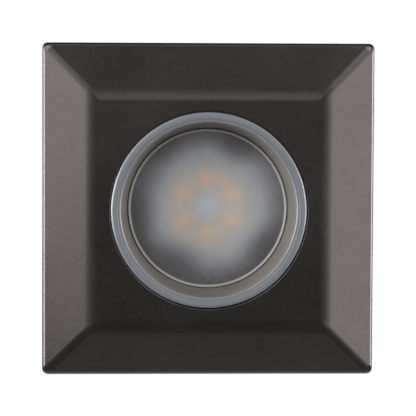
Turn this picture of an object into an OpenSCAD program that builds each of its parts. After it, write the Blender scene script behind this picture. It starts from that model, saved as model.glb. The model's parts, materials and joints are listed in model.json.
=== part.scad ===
// Square recessed spotlight: cast bezel, steel can, twist-lock lamp, spring clips and wiring box.
//
// Every piece is drawn with the light's axis along Z: the wall plane is z = 0, the lit side is
// negative z and local +Y points down. placed() turns that axis into +Y of the part, so that the
// finished light faces -Y with +Z up and its origin at the centre of the wall plane.

/* [Bezel] */
// Width of the square bezel
bezel_w = 85; // [76:0.5:120]
// Width of the flat square face in the middle
face_w = 59.5; // [56:0.5:66]
// Height of the face above the wall
bezel_h = 7; // [5.5:0.1:12]
// Height of the straight outer edge above the gasket
lip_h = 1.4; // [0.8:0.1:2.5]
// Radius of the four corners, seen from the front
corner_r = 1.5; // [0.5:0.1:5]
// Rounding of the outer edge
edge_r = 0.6; // [0.3:0.1:1]
// Rounding where the slopes meet the face
face_edge_r = 9; // [0.5:0.5:12]
// Thickness of the casting
cast_t = 2; // [1.2:0.1:3]
// Width of the flat rim that carries the gasket
rim_w = 4.5; // [3:0.1:5]
// Thickness of the foam gasket
gasket_t = 1; // [0.5:0.1:2]

/* [Collar] */
// Length of the collar behind the wall plane
collar_l = 6; // [3:0.5:8]
// Wall of the collar
collar_t = 1.6; // [1.2:0.1:2]
// Depth of the groove that clears the edge of the wall's hole
collar_relief = 0.4; // [0.2:0.1:0.6]

/* [Can] */
// Wall of the can
can_t = 0.8; // [0.6:0.1:1.2]
// Where the wide part ends
can_l = 37; // [30:0.5:40]
// Outer radius of the turret round the lampholder
turret_r = 19.5; // [18.8:0.1:21]
// Where the conical shoulder meets the turret
turret_z = 45; // [43:0.5:46]
// Thickness of the can's end plate and front flange
plate_t = 1.2; // [0.8:0.1:1.6]

/* [Lamp] */
// Diameter of the lamp's rim
lamp_d = 50; // [41:0.1:52]
// Length of the lamp without its pins
lamp_l = 54; // [52:0.5:65]
// How far the rim stands in front of the bezel's face
lamp_proud = 0.3; // [-1:0.1:2]
// Gap round the rim
lamp_gap = 0.4; // [0.3:0.1:1]
// Gap between the lamp and the can
can_gap = 1.7; // [1.2:0.1:3]
// Width of the rim's flat front
rim_flat_w = 2.6; // [1.5:0.1:3.5]
// From the rim's outer edge to the frosted cover
cover_inset = 4.25; // [4:0.1:6]
// Depth of the cover behind the rim
cover_depth = 9.3; // [6:0.1:12]
// Thickness of the cover
cover_t = 1.6; // [1:0.1:2.5]
// Thickness of the glass
glass_t = 1.8; // [1.4:0.1:2.2]
// Depth of the glass, from the rim to its neck
glass_l = 34.3; // [32:0.1:36]
// Outer radius of the neck of the glass
neck_r = 13.6; // [13:0.1:14.5]
// Number of light-emitting diodes
led_n = 6; // [4:1:8]
// Radius of the ring that they stand on
led_ring_r = 6.9; // [6:0.1:8]
// Radius of the lamp's circuit board
led_board_r = 14.5; // [13.5:0.1:15]
// Angle that unlocks the lamp
twist = 40; // [35:1:50]

/* [Spring clips] */
// Length of a clip's arm from its pivot
arm_l = 21; // [18:0.5:22]
// Width of an arm
arm_w = 7.2; // [5.8:0.1:9]
// How far an arm leans towards the wall at rest
arm_lean = 26; // [15:1:27]
// Radius of the pivot pins
pivot_pin_r = 1; // [0.8:0.05:1.2]
// Running clearance round a moving pin
run_gap = 0.08; // [0.05:0.01:0.1]
// Wire diameter of the torsion springs
wire_d = 0.7; // [0.5:0.05:0.8]

/* [Wiring box] */
// Width of the box
box_w = 46; // [44:0.5:56]
// Height of the box
box_h = 32; // [31:0.5:40]
// Depth of the box without its lid
box_d = 17; // [16.5:0.5:22]
// Wall of the box
box_t = 1.6; // [1.2:0.1:2]
// Thickness of the lid
lid_t = 1.8; // [1.2:0.1:2.4]
// Radius of the cable that the grommet takes
cable_r = 3.8; // [3:0.1:4.6]
// Spacing of the terminals
pole_pitch = 8; // [7.5:0.1:8.2]

/* [Hidden] */
$fn = 64;
eps = 0.01;
over = 1;
fine_fn = 360;

// Lamp, from the rim to the pins
lamp_r = lamp_d / 2;
lamp_z = -bezel_h - lamp_proud;
lamp_end = lamp_z + lamp_l;
rim_inner_r = lamp_r - rim_flat_w;
rim_edge_r = 0.8;
rim_lip_r = 0.4;
rim_step = 0.9;
rim_step_z = lamp_z + 3.1;
cover_r = lamp_r - cover_inset;
cover_z = lamp_z + cover_depth;
cover_back = cover_z + cover_t;
cover_fit = 0.1;
cover_dish = 0.4;
bead_w = 0.8;
bead_h = 0.7;
bead_r = 0.15;
seat_w = 0.9;
seat_l = 1.5;
bowl_z = rim_step_z + 1.2;
neck_z = lamp_z + glass_l;
bowl_r = lamp_r - rim_step;
bowl_power = 1.8;
bowl_steps = 14;
led_room = 6;
led_board_t = 1.6;
led_board_z = cover_back + led_room;
led_w = 2.8;
led_l = 3.5;
led_h = 0.8;
led_well_r = 1.15;
led_well_h = 0.5;
led_fill_gap = 0.05;
board_screw_r = 1;
board_screw_head_r = 1.8;
board_screw_head_h = 1.1;
board_screw_at = led_board_r - 3;
board_screw_gap = 0.1;
core_plate_t = 2;
core_z = led_board_z + led_board_t;
core_back = core_z + core_plate_t;
base_r = 11;
base_t = 1.1;
base_end_t = 1.5;
base_band = 2;
base_cone = 4;
base_edge = 1;
core_fit = 0.1;
core_r = base_r - base_t - core_fit;
core_t = 1;
core_end_gap = 5.5;
core_end = lamp_end - base_end_t - core_end_gap;
driver_fit = 0.1;
driver_t = 1.2;
driver_w = 2 * (core_r - core_t - driver_fit);
driver_gap = 8;
driver_z = core_back + 2;
driver_end = lamp_end - base_end_t - driver_gap;
driver_notch = 2;
driver_notch_l = 3;
capacitor_r = 3.2;
capacitor_l = 10;
capacitor_at = 3;
crimp_depth = 0.3;
crimp_l = 0.6;
crimp_at = 1;
coil_at = 7;
coil_l = 7;
coil_flange_r = 3;
coil_flange_t = 1;
coil_core_r = 2.4;
chip_w = 5;
chip_l = 4;
chip_t = 1.5;
chip_at = 2;
link_at = 1.5;
link_r = 0.4;
link_hole_r = 0.9;
link_stand = 0.3;
link_pad = 0.6;
link_pad_l = 1.4;
pin_at = 5;
pin_root = 3.4;
pin_neck_r = 1.6;
pin_neck_l = 4.4;
pin_head_r = 2.5;
pin_head_l = 2.8;

// Bezel
half_w = bezel_w / 2;
half_f = face_w / 2;
rim_z = -gasket_t;
lip_z = rim_z - lip_h;
hole_r = lamp_r + lamp_gap;
hole_edge = 0.6;
sleeve_t = 1.6;
sleeve_r = hole_r + sleeve_t;
gasket_inset = 0.5;

// Can, its screws to the bezel, and the collar round them
can_r = lamp_r + can_gap + can_t;
can_screw_r = 1.25;
can_screw_head_r = 2.15;
can_screw_head_h = 1.6;
can_screw_l = 5;
can_screw_gap = 0.15;
head_room = 0.3;
collar_r = can_r + collar_t + 2 * can_screw_head_r + 2 * head_room;
collar_in_r = collar_r - collar_t;
can_flange_gap = 0.4;
can_flange_r = collar_in_r - can_flange_gap;
can_screw_at = (can_r + collar_in_r) / 2;
boss_r = 3.2;
shoulder_fillet = 3;
turret_fillet = 1.2;

// Lampholder
holder_gap = 0.3;
holder_z = lamp_end + holder_gap;
holder_w = 21;
holder_h = 27;
holder_corner_r = 3;
holder_l = 16.4;
holder_end = holder_z + holder_l;
holder_foot_r = 2.9;
holder_foot_h = 2.6;
key_plate_t = 3.6;
key_depth = 8.2;
key_cavity_end = holder_z + key_depth;
key_gap = 0.35;
arc_step = 0.06;
contact_t = 0.6;
contact_w = 3.2;
can_end = holder_end + holder_foot_h + plate_t;
holder_screw_at = 10.5;
holder_screw_r = 1.5;
holder_screw_l = 10;
holder_screw_gap = 0.1;
holder_thread_l = 7.8;

// Wiring box: its floor lies on the can's end plate
floor_z = can_end + box_t;
box_end = can_end + box_d;
box_corner_r = 3;
washer_t = 0.8;
washer_r = 3;
washer_slit = 0.6;
tag_w = 2.4;
tag_l = 5;
tag_neck = 2.6;
tag_barrel_at = 4.4;
tag_barrel_l = 4;
tag_barrel_r = 1.2;
tag_fit = 0.02;
screw_head_r = 2.7;
screw_head_h = 1.8;
lead_r = 0.8;
lead_hole_at = 13.5;
lead_hole_r = 3.2;
lead_well_gap = 0.5;
lead_well_l = 6;
lead_well = [4, 2.5];
grommet_bore_r = 2.5;
grommet_flange = 0.9;
grommet_flange_t = 0.8;
block_x0 = -4;
block_x1 = 9;
block_mid = (block_x0 + block_x1) / 2;
block_lift = 3.4;
block_base_h = 7.4;
block_tower_h = 2.6;
block_margin = 1;
block_h = 3 * pole_pitch + 2 * block_margin;
block_z0 = floor_z + block_lift;
block_base_z = block_z0 + block_base_h;
block_z1 = block_base_z + block_tower_h;
tower_inset = 1.2;
tower_w = 5.4;
pole_z = block_z0 + 5;
pole_r = 1.3;
insert_r = 2;
insert_inset = 1;
pole_screw_at = 2.5;
pole_screw_r = 1.1;
pole_screw_gap = 0.3;
pole_screw_bite = 0.1;
pole_screw_sunk = 0.6;
slot_w = 0.5;
slot_d = 0.6;
foot_w = 8;
foot_h = 4.8;
block_screw_r = 0.9;
block_screw_l = 9;
block_screw_head_r = 1.2;
block_screw_head_h = 0.9;
block_screw_gap = 0.2;
block_screw_well = 3;
clamp_from_wall = 7;
clamp_x = -box_w / 2 + clamp_from_wall;
clamp_w = 5.2;
clamp_t = 2.6;
clamp_screw_gap = 0.2;
clamp_screw_r = 1.2;
clamp_screw_l = 8;
clamp_screw_head_r = 2.2;
clamp_screw_head_h = 1.5;
clamp_screw_at = cable_r + clamp_screw_r + 4;
clamp_post_r = 3;
clamp_thread_l = 7;
clamp_grip = 0.4;
saddle_w = 3;
saddle_h = 8;
cable_floor = 2.4;
cable_z = floor_z + cable_r + cable_floor;
clamp_z0 = cable_z + cable_r - clamp_grip;
clamp_z1 = clamp_z0 + clamp_t;
cable_wall = 1.2;
cable_lip = 1;
cable_lip_t = 2.2;
cable_inner_lip = 0.6;
cable_inner_lip_t = 1;
hinge_r = 1.6;
hinge_pin_r = 0.8;
hinge_off = hinge_r + 0.3;
hinge_y = -box_h / 2 - hinge_off;
hinge_z = box_end;
hinge_half = 16;
hinge_pin_end = 0.5;
ear_w = 4;
ear_down = 2.2;
lid_ear_at = 6.6;
lid_gap = 0.1;
lid_z = box_end + lid_gap;
lid_short = 0.4;
latch_w = 9.2;
latch_gap = 1.1;
latch_t = 1;
latch_l = 6;
catch_w = 10;
catch_h = 1;
catch_at = 3.4;
catch_out = 0.7;
grip_w = 1.6;
grip_l = 8;
grip_d = 0.5;
grip_pitch = 6;
grip_off = 5;

// Spring clips: the pivot's radius and depth, and the bracket that holds it
bracket_t = 1;
bracket_gap = 0.4;
cheek_wall = 1.1;
cheek_r = pivot_pin_r + cheek_wall;
cheek_gap = 0.3;
pivot_r = can_r + bracket_t + cheek_r + cheek_gap;
pivot_z = 11.5;
bracket_half = arm_w / 2 + bracket_gap + bracket_t;
bracket_z0 = 4;
bracket_z1 = 21.5;
bracket_root = 2;
ear_half = 3;
ear_r = pivot_r + 2.2;
rivet_r = 1;
rivet_head_r = 1.7;
rivet_head_h = 0.6;
rivet_seat = 0.1;
rivet_zs = [bracket_z0 + 1.8, bracket_z1 - 3];
pin_end = 0.1;
pin_head_t = 0.6;
pin_head_w = 0.5;
arm_t = 0.8;
arm_rib_h = 1.4;
arm_rib_l = 6.5;
arm_hole_r = 1.4;
strip_from = 2.5;
boot_l = 7;
boot_lap = 0.5;
boot_back = 0.9;
boot_foot = 2.2;
boot_cover = 0.4;
coil_room = 0.25;
coil_r = pivot_pin_r + wire_d / 2 + coil_room;
coil_pitch = wire_d + 0.1;
coil_side_gap = 0.3;
spring_turns = floor((arm_w - 2 * arm_t - wire_d - 2 * coil_side_gap) / coil_pitch);
spring_half = spring_turns * coil_pitch / 2;
spring_leg_l = 7;
spring_foot_l = 9.6;
spring_foot_gap = 0.05;
spring_sides = 8;
spring_steps = 16;

// Routes of the leads, in the drawing's own axes, from the lampholder or the tag to the block.
// Depths are counted from the lamp's end for live and neutral and from the box's floor for earth.
live_route = [
  [4, 2.5, 11.8], [4, 2.5, 14], [4, 2.5, 15.8], [4.8, 2.4, 17.2], [6.4, 2.1, 17.65], [9, 1.6, 17.6],
  [11.6, 1.2, 17.6], [13.1, 1.1, 18.6], [13.5, 1.1, 20.4], [13.5, 1.1, 22.6], [14.2, 1.2, 24.8],
  [15.8, 1, 26.8], [16.4, 0.6, 28.8], [15.2, 0.2, 30.3], [13, 0, 30.5], [10.5, 0, 30.5], [7, 0, 30.5]
];
neutral_route = [
  [4, -2.5, 11.8], [4, -2.5, 14], [4, -2.5, 15.8], [4.8, -2.4, 17.2], [6.4, -2.1, 17.65], [9, -1.6, 17.6],
  [11.6, -1.2, 17.6], [13.1, -1.1, 18.6], [13.5, -1.1, 20.4], [13.5, -1.1, 22.6], [14.2, -2, 24.6],
  [15.6, -3.8, 26.6], [16.2, -6, 28.6], [15.2, -7.6, 30.2], [13, -8, 30.5], [10.5, -8, 30.5], [7, -8, 30.5]
];
earth_route = [
  [6.2, 10.5, 1.2], [8, 10.5, 1.2], [10.5, 10.6, 1.5], [13, 10.8, 2.8], [15, 10.6, 4.8], [15.8, 9.8, 6.8],
  [15, 8.6, 8.2], [13, 8, 8.4], [10.5, 8, 8.4], [7, 8, 8.4]
];
lead_steps = 3;
lead_sides = 10;

function unit(v) = v / norm(v);

// Points of a round corner of radius r at b, between the straight stretches from a and to c
function fillet(a, b, c, r, n = 5) =
  let (
    u = unit(a - b), v = unit(c - b), half = acos(u * v) / 2,
    centre = b + unit(u + v) * r / sin(half),
    from = b + u * r / tan(half) - centre, to = b + v * r / tan(half) - centre,
    start = atan2(from.y, from.x), turn = (atan2(to.y, to.x) - start + 540) % 360 - 180
  )
  [for (i = [0:n]) centre + r * [cos(start + turn * i / n), sin(start + turn * i / n)]];

function backwards(list) = [for (i = [len(list) - 1:-1:0]) list[i]];

// A closed outline from its right half
function both_sides(right) = concat(right, [for (p = backwards(right)) [-p.x, p.y]]);

// Right half of the bezel's section: a straight edge, a slope and the flat face
bezel_half = concat(
  [[half_w, rim_z]],
  fillet([half_w, rim_z], [half_w, lip_z], [half_f, -bezel_h], edge_r),
  fillet([half_w, lip_z], [half_f, -bezel_h], [0, -bezel_h], face_edge_r)
);

// Radius of the lamp's glass at depth z
function bowl(z) = neck_r + (bowl_r - neck_r) * (1 - pow((z - bowl_z) / (neck_z - bowl_z), bowl_power));
function bowl_side(from, wall) = [
  for (i = [0:bowl_steps]) let (z = from + (neck_z - from) * i / bowl_steps) [bowl(z) - wall, z]
];

// A smooth curve through the points of a route
function spline_at(p, i, t) =
  let (n = len(p) - 1, a = p[max(i - 1, 0)], b = p[i], c = p[min(i + 1, n)], d = p[min(i + 2, n)])
  0.5 * (2 * b + (c - a) * t + (2 * a - 5 * b + 4 * c - d) * t * t + (3 * b - a - 3 * c + d) * t * t * t);
function spline(p, steps) = concat(
  [for (i = [0:len(p) - 2], s = [0:steps - 1]) spline_at(p, i, s / steps)], [p[len(p) - 1]]
);

// A round tube along a path that never runs along Y
function tangent(path, i) = unit(path[min(i + 1, len(path) - 1)] - path[max(i - 1, 0)]);
function ring(path, i, r, sides) =
  let (t = tangent(path, i), n = unit(cross(t, [0, 1, 0])), b = cross(t, n))
  [for (k = [0:sides - 1]) path[i] + r * (n * cos(360 * k / sides) + b * sin(360 * k / sides))];
module tube_along(path, r, sides) {
  last = len(path) - 1;
  polyhedron(
    points = [for (i = [0:last]) each ring(path, i, r, sides)],
    faces = concat(
      [[for (k = [0:sides - 1]) k]],
      [for (i = [0:last - 1], k = [0:sides - 1]) [
        i * sides + k, (i + 1) * sides + k, (i + 1) * sides + (k + 1) % sides, i * sides + (k + 1) % sides
      ]],
      [[for (k = [sides - 1:-1:0]) last * sides + k]]
    )
  );
}

// Turns the drawing's axis into +Y of the part
module placed() rotate([-90, 0, 0]) children();

module post(x, y, z0, z1, r) translate([x, y, z0]) cylinder(h = z1 - z0, r = r);

module tube(z0, z1, outer, inner) difference() {
  post(0, 0, z0, z1, outer);
  post(0, 0, z0 - over, z1 + over, inner);
}

module along_x(x0, x1, y, z, r) translate([x0, y, z]) rotate([0, 90, 0]) cylinder(h = x1 - x0, r = r);

module along_y(x, z, y0, y1, r) translate([x, y0, z]) rotate([-90, 0, 0]) cylinder(h = y1 - y0, r = r);

module block(x0, x1, y0, y1, z0, z1) translate([x0, y0, z0]) cube([x1 - x0, y1 - y0, z1 - z0]);

module rounded_square(w, h, r) {
  square([w - 2 * r, h], center = true);
  square([w, h - 2 * r], center = true);
  for (x = [-1, 1], y = [-1, 1]) translate([x * (w / 2 - r), y * (h / 2 - r)]) circle(r);
}

module rounded_plate(w, h, r, z0, z1) translate([0, 0, z0]) linear_extrude(z1 - z0) rounded_square(w, h, r);

module four_ways() for (a = [0:90:270]) rotate(a) children();

module up_and_down(at) for (side = [-1, 1]) translate([0, side * at, 0]) children();

// Screw along -Z with a crossed slot, its head's underside at z
module cross_screw(x, y, z, r, l, head_r, head_h, cross_w = 0.8) {
  post(x, y, z - l, z + eps, r);
  difference() {
    post(x, y, z, z + head_h, head_r);
    translate([x - head_r, y - cross_w / 2, z + head_h / 2]) cube([2 * head_r, cross_w, head_h]);
    translate([x - cross_w / 2, y - head_r, z + head_h / 2]) cube([cross_w, 2 * head_r, head_h]);
  }
}

// ---- bezel and gasket ----

module pyramid(half_outline) intersection() {
  rotate([90, 0, 0]) linear_extrude(bezel_w + 2 * over, center = true) polygon(both_sides(half_outline));
  rotate([90, 0, 90]) linear_extrude(bezel_w + 2 * over, center = true) polygon(both_sides(half_outline));
}

// Keeps what lies behind the front surface, up to depth z
module behind_front(z) intersection() {
  children();
  union() {
    pyramid(bezel_half);
    post(0, 0, rim_z - eps, z, collar_r + over);
  }
}

module bezel() color("#3a3634") placed() difference() {
  union() {
    difference() {
      intersection() {
        pyramid(bezel_half);
        rounded_plate(bezel_w, bezel_w, corner_r, -bezel_h - over, over);
      }
      pyramid([[half_w - rim_w, rim_z + over], [half_w - rim_w, lip_z], [half_f, -bezel_h + cast_t]]);
    }
    tube(-bezel_h + cast_t, rim_z, sleeve_r, hole_r - eps);
    behind_front(collar_l) union() {
      tube(-bezel_h, collar_l, collar_r - collar_relief, collar_in_r);
      tube(0, collar_l, collar_r, collar_in_r);
    }
    behind_front(0) four_ways() post(can_screw_at, 0, -bezel_h, 0, boss_r);
  }
  post(0, 0, -bezel_h - over, collar_l + over, hole_r);
  translate([0, 0, -bezel_h - eps]) cylinder(h = hole_edge, r1 = hole_r + hole_edge, r2 = hole_r);
  four_ways() post(can_screw_at, 0, plate_t - can_screw_l, over, can_screw_r);
}

module wall_gasket() color("#202020") placed() difference() {
  rounded_plate(bezel_w - 2 * gasket_inset, bezel_w - 2 * gasket_inset, corner_r, rim_z, 0);
  block(-half_w + rim_w, half_w - rim_w, -half_w + rim_w, half_w - rim_w, rim_z - over, over);
}

// ---- can ----

module can_outline(r, turret, z0, z1, z2, z3) polygon(concat(
  [[0, z0], [r, z0]],
  fillet([r, z0], [r, z1], [turret, z2], shoulder_fillet),
  fillet([r, z1], [turret, z2], [turret, z3], shoulder_fillet),
  fillet([turret, z2], [turret, z3], [0, z3], turret_fillet),
  [[0, z3]]
));

module at_rivets(x) for (z = rivet_zs) translate([x, 0, z]) rotate([0, 90, 0]) children();

module can() color("silver") placed() difference() {
  union() {
    rotate_extrude() can_outline(can_r, turret_r, 0, can_l, turret_z, can_end);
    post(0, 0, 0, plate_t, can_flange_r);
  }
  rotate_extrude() can_outline(
    can_r - can_t, turret_r - can_t, -over, can_l - can_t / 2, turret_z - can_t / 2, can_end - plate_t
  );
  four_ways() post(can_screw_at, 0, -over, plate_t + over, can_screw_r + can_screw_gap);
  up_and_down(holder_screw_at) post(0, 0, can_end - plate_t - over, can_end + over, holder_screw_r + holder_screw_gap);
  post(lead_hole_at, 0, can_end - plate_t - over, can_end + over, lead_hole_r);
  for (a = [-45, 135]) rotate(a) at_rivets(can_r - 2 * over) cylinder(h = 3 * over, r = rivet_r);
}

module can_screws() color("silver") placed() four_ways()
  cross_screw(can_screw_at, 0, plate_t, can_screw_r, can_screw_l, can_screw_head_r, can_screw_head_h);

// ---- spring clips, drawn with the clip's radius along +X ----

module upper() placed() rotate(-45) children();
module lower() placed() rotate(135) children();

module clip_bracket() color("gainsboro") difference() {
  union() {
    block(can_r - bracket_root, can_r + bracket_t, -bracket_half, bracket_half, bracket_z0, bracket_z1);
    up_and_down(bracket_half - bracket_t / 2) {
      block(can_r - bracket_root, pivot_r, -bracket_t / 2, bracket_t / 2, pivot_z - ear_half, pivot_z + ear_half);
      intersection() {
        along_y(pivot_r, pivot_z, -bracket_t / 2, bracket_t / 2, ear_half);
        block(pivot_r - over, ear_r, -bracket_t / 2, bracket_t / 2, pivot_z - ear_half, pivot_z + ear_half);
      }
    }
  }
  post(0, 0, 0, bracket_z1 + over, can_r, $fn = fine_fn);
  along_y(pivot_r, pivot_z, -bracket_half - over, bracket_half + over, pivot_pin_r);
  at_rivets(can_r - over) cylinder(h = bracket_t + 2 * over, r = rivet_r);
}

module clip_rivets() color("silver") at_rivets(can_r - can_t - rivet_seat) {
  post(0, 0, -rivet_head_h, 0, rivet_head_r);
  post(0, 0, -eps, can_t + rivet_seat + bracket_t + eps, rivet_r);
  post(0, 0, can_t + rivet_seat + bracket_t, can_t + rivet_seat + bracket_t + rivet_head_h, rivet_head_r);
}

module clip_pin() color("silver") {
  along_y(pivot_r, pivot_z, -bracket_half - pin_end, bracket_half + pin_end, pivot_pin_r);
  up_and_down(bracket_half + pin_head_t / 2)
    along_y(pivot_r, pivot_z, -pin_head_t / 2, pin_head_t / 2, pivot_pin_r + pin_head_w);
}

// Pieces of an arm are drawn with the pivot at the origin and the arm along +X
module at_arm() translate([pivot_r, 0, pivot_z]) rotate([0, arm_lean, 0]) children();

module clip_arm() color("lightsteelblue") at_arm() difference() {
  union() {
    up_and_down(arm_w / 2 - arm_t / 2) {
      along_y(0, 0, -arm_t / 2, arm_t / 2, cheek_r);
      block(0, arm_rib_l, -arm_t / 2, arm_t / 2, -arm_t / 2, arm_rib_h);
    }
    block(strip_from, arm_l - boot_cover, -arm_w / 2, arm_w / 2, -arm_t / 2, arm_t / 2);
  }
  along_y(0, 0, -arm_w, arm_w, pivot_pin_r + run_gap);
  post(arm_l / 2, 0, -over, over, arm_hole_r);
}

boot_half = arm_w / 2 - boot_lap;
toe_r = boot_foot / 2;
module clip_boot() color("#303030") at_arm() difference() {
  union() {
    block(arm_l - boot_l, arm_l - toe_r, -boot_half, boot_half, -boot_foot, boot_back);
    along_y(arm_l - toe_r, -toe_r, -boot_half, boot_half, toe_r);
    block(arm_l - boot_l, arm_l, -boot_half, boot_half, -toe_r, boot_back);
  }
  block(arm_l - boot_l - over, arm_l - boot_cover, -arm_w, arm_w, -arm_t / 2, arm_t / 2);
}

// Coil round the pin, one leg along the bracket and the other under the arm
fixed_leg_turn = 180;
arm_leg_turn = 90 - arm_lean;
spring_angle = 360 * spring_turns - (fixed_leg_turn - arm_leg_turn);
arm_out = [cos(arm_lean), 0, -sin(arm_lean)];
arm_back = [sin(arm_lean), 0, cos(arm_lean)];
foot_rise = arm_t / 2 + wire_d / 2 + spring_foot_gap;
spring_path = concat(
  [for (i = [5:-1:1]) [-coil_r, -spring_half, spring_leg_l * i / 5]],
  [for (i = [0:spring_steps * spring_turns]) let (
    s = i / (spring_steps * spring_turns), a = fixed_leg_turn + s * spring_angle
  ) [coil_r * cos(a), -spring_half + 2 * spring_half * s, coil_r * sin(a)]],
  [for (i = [1:6]) arm_out * spring_foot_l * i / 6
    + arm_back * (coil_r + (foot_rise - coil_r) * min(i / 5, 1)) + [0, spring_half, 0]]
);

module clip_spring() color("dimgray") translate([pivot_r, 0, pivot_z])
  tube_along(spring_path, wire_d / 2, spring_sides);

module upper_clip_bracket() upper() clip_bracket();
module upper_clip_rivets() upper() clip_rivets();
module upper_clip_pin() upper() clip_pin();
module upper_clip_arm() upper() clip_arm();
module upper_clip_boot() upper() clip_boot();
module upper_clip_spring() upper() clip_spring();
module lower_clip_bracket() lower() clip_bracket();
module lower_clip_rivets() lower() clip_rivets();
module lower_clip_pin() lower() clip_pin();
module lower_clip_arm() lower() clip_arm();
module lower_clip_boot() lower() clip_boot();
module lower_clip_spring() lower() clip_spring();

// ---- lamp ----

module lamp_glass() color("lightblue", 0.6) placed() rotate_extrude() polygon(concat(
  fillet([rim_inner_r, lamp_z], [lamp_r, lamp_z], [lamp_r, rim_step_z], rim_edge_r),
  [[lamp_r, rim_step_z]],
  bowl_side(bowl_z, 0),
  backwards(bowl_side(cover_back + seat_l, glass_t)),
  [[cover_r - seat_w, cover_back], [cover_r, cover_back], [cover_r, cover_z]],
  fillet([cover_r, cover_z], [rim_inner_r, lamp_z], [lamp_r, lamp_z], rim_lip_r)
));

// The frosted disc, with a bead round its edge
cover_edge = cover_r - cover_fit;
bead_in = cover_r - bead_w;
module lamp_cover() color("gainsboro") placed() rotate_extrude() polygon(concat(
  [[0, cover_back], [0, cover_z + cover_dish / 2], [bead_in, cover_z + cover_dish]],
  fillet([bead_in, cover_z + cover_dish], [bead_in, cover_z + cover_dish - bead_h],
    [cover_edge, cover_z + cover_dish - bead_h], bead_r),
  [[cover_edge, cover_z + cover_dish - bead_h], [cover_edge, cover_back]]
));

module at_board_screws() for (a = [90, 270]) rotate(a) translate([board_screw_at, 0, 0]) children();

module led_board() color("white") placed() difference() {
  post(0, 0, led_board_z, core_z, led_board_r);
  at_board_screws() post(0, 0, led_board_z - over, core_z + over, board_screw_r + board_screw_gap);
  for (x = [-1, 1]) post(x * link_at, 0, led_board_z - over, core_z + over, link_r);
}

module on_led_ring() for (i = [0:led_n - 1]) rotate(90 + 360 * i / led_n) translate([led_ring_r, 0, 0]) children();

module led_packages() color("ivory") placed() on_led_ring() difference() {
  block(-led_w / 2, led_w / 2, -led_l / 2, led_l / 2, led_board_z - led_h, led_board_z);
  post(0, 0, led_board_z - led_h - over, led_board_z - led_h + led_well_h, led_well_r);
}

module led_phosphors() color("orange") placed() on_led_ring()
  post(0, 0, led_board_z - led_h + led_fill_gap, led_board_z - led_h + led_well_h, led_well_r);

module led_board_screws() color("silver") placed() at_board_screws() {
  post(0, 0, led_board_z - board_screw_head_h, led_board_z, board_screw_head_r);
  post(0, 0, led_board_z - eps, core_back, board_screw_r);
}

module lamp_core() color("silver") placed() difference() {
  union() {
    post(0, 0, core_z, core_back, led_board_r);
    post(0, 0, core_z, core_end, core_r);
  }
  post(0, 0, core_back, core_end + over, core_r - core_t);
  at_board_screws() post(0, 0, core_z - over, core_back + over, board_screw_r);
  for (x = [-1, 1]) post(x * link_at, 0, core_z - over, core_back + over, link_hole_r);
}

module lamp_base() color("white") placed() difference() {
  rotate_extrude() polygon([
    [0, neck_z], [neck_r, neck_z], [neck_r, neck_z + base_band], [base_r, neck_z + base_band + base_cone],
    [base_r, lamp_end - base_edge], [base_r - base_edge, lamp_end], [0, lamp_end]
  ]);
  post(0, 0, neck_z - over, lamp_end - base_end_t, base_r - base_t);
  for (x = [-1, 1]) post(x * pin_at, 0, lamp_end - base_end_t - over, lamp_end + over, pin_neck_r);
}

module driver_board() color("seagreen") placed() difference() {
  block(-driver_w / 2, driver_w / 2, -driver_t / 2, driver_t / 2, driver_z, driver_end);
  block(-driver_w, driver_notch - driver_w / 2, -driver_t, driver_t, driver_z - over, driver_z + driver_notch_l);
}

capacitor_end = driver_end - capacitor_at;
module driver_capacitor() color("#20242c") placed() translate([0, driver_t / 2 + capacitor_r, 0]) difference() {
  post(0, 0, capacitor_end - capacitor_l, capacitor_end, capacitor_r);
  tube(capacitor_end - crimp_at - crimp_l, capacitor_end - crimp_at, capacitor_r + over, capacitor_r - crimp_depth);
}

coil_end = driver_end - coil_at;
module driver_coil() color("saddlebrown") placed() translate([0, -driver_t / 2 - coil_flange_r, 0]) {
  post(0, 0, coil_end - coil_l, coil_end - coil_l + coil_flange_t, coil_flange_r);
  post(0, 0, coil_end - coil_l + coil_flange_t - eps, coil_end - coil_flange_t + eps, coil_core_r);
  post(0, 0, coil_end - coil_flange_t, coil_end, coil_flange_r);
}

module driver_chip() color("#202020") placed() block(
  -chip_w / 2, chip_w / 2, driver_t / 2, driver_t / 2 + chip_t, driver_z + chip_at, driver_z + chip_at + chip_l
);

module link_pins() color("goldenrod") placed() for (x = [-1, 1]) translate([x * link_at, 0, 0]) {
  block(-link_pad / 2, link_pad / 2, driver_t / 2, driver_t / 2 + link_pad, driver_z, driver_z + link_pad_l);
  post(0, 0, led_board_z - link_stand, driver_z, link_r);
}

module lamp_pins() color("silver") placed() for (x = [-1, 1]) {
  post(x * pin_at, 0, lamp_end - pin_root, lamp_end + pin_neck_l + eps, pin_neck_r);
  post(x * pin_at, 0, lamp_end + pin_neck_l, lamp_end + pin_neck_l + pin_head_l, pin_head_r);
}

// ---- lampholder ----

// An arc-shaped slot through the twist, from the entry hole to a round end of radius r
module arc_slot(z0, z1, r) for (a = [0, 180]) rotate(a) {
  translate([0, 0, z0]) rotate(-twist) rotate_extrude(angle = twist)
    translate([pin_at - r + arc_step, 0]) square([2 * (r - arc_step), z1 - z0]);
  post(pin_at, 0, z0, z1, r);
}

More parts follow.
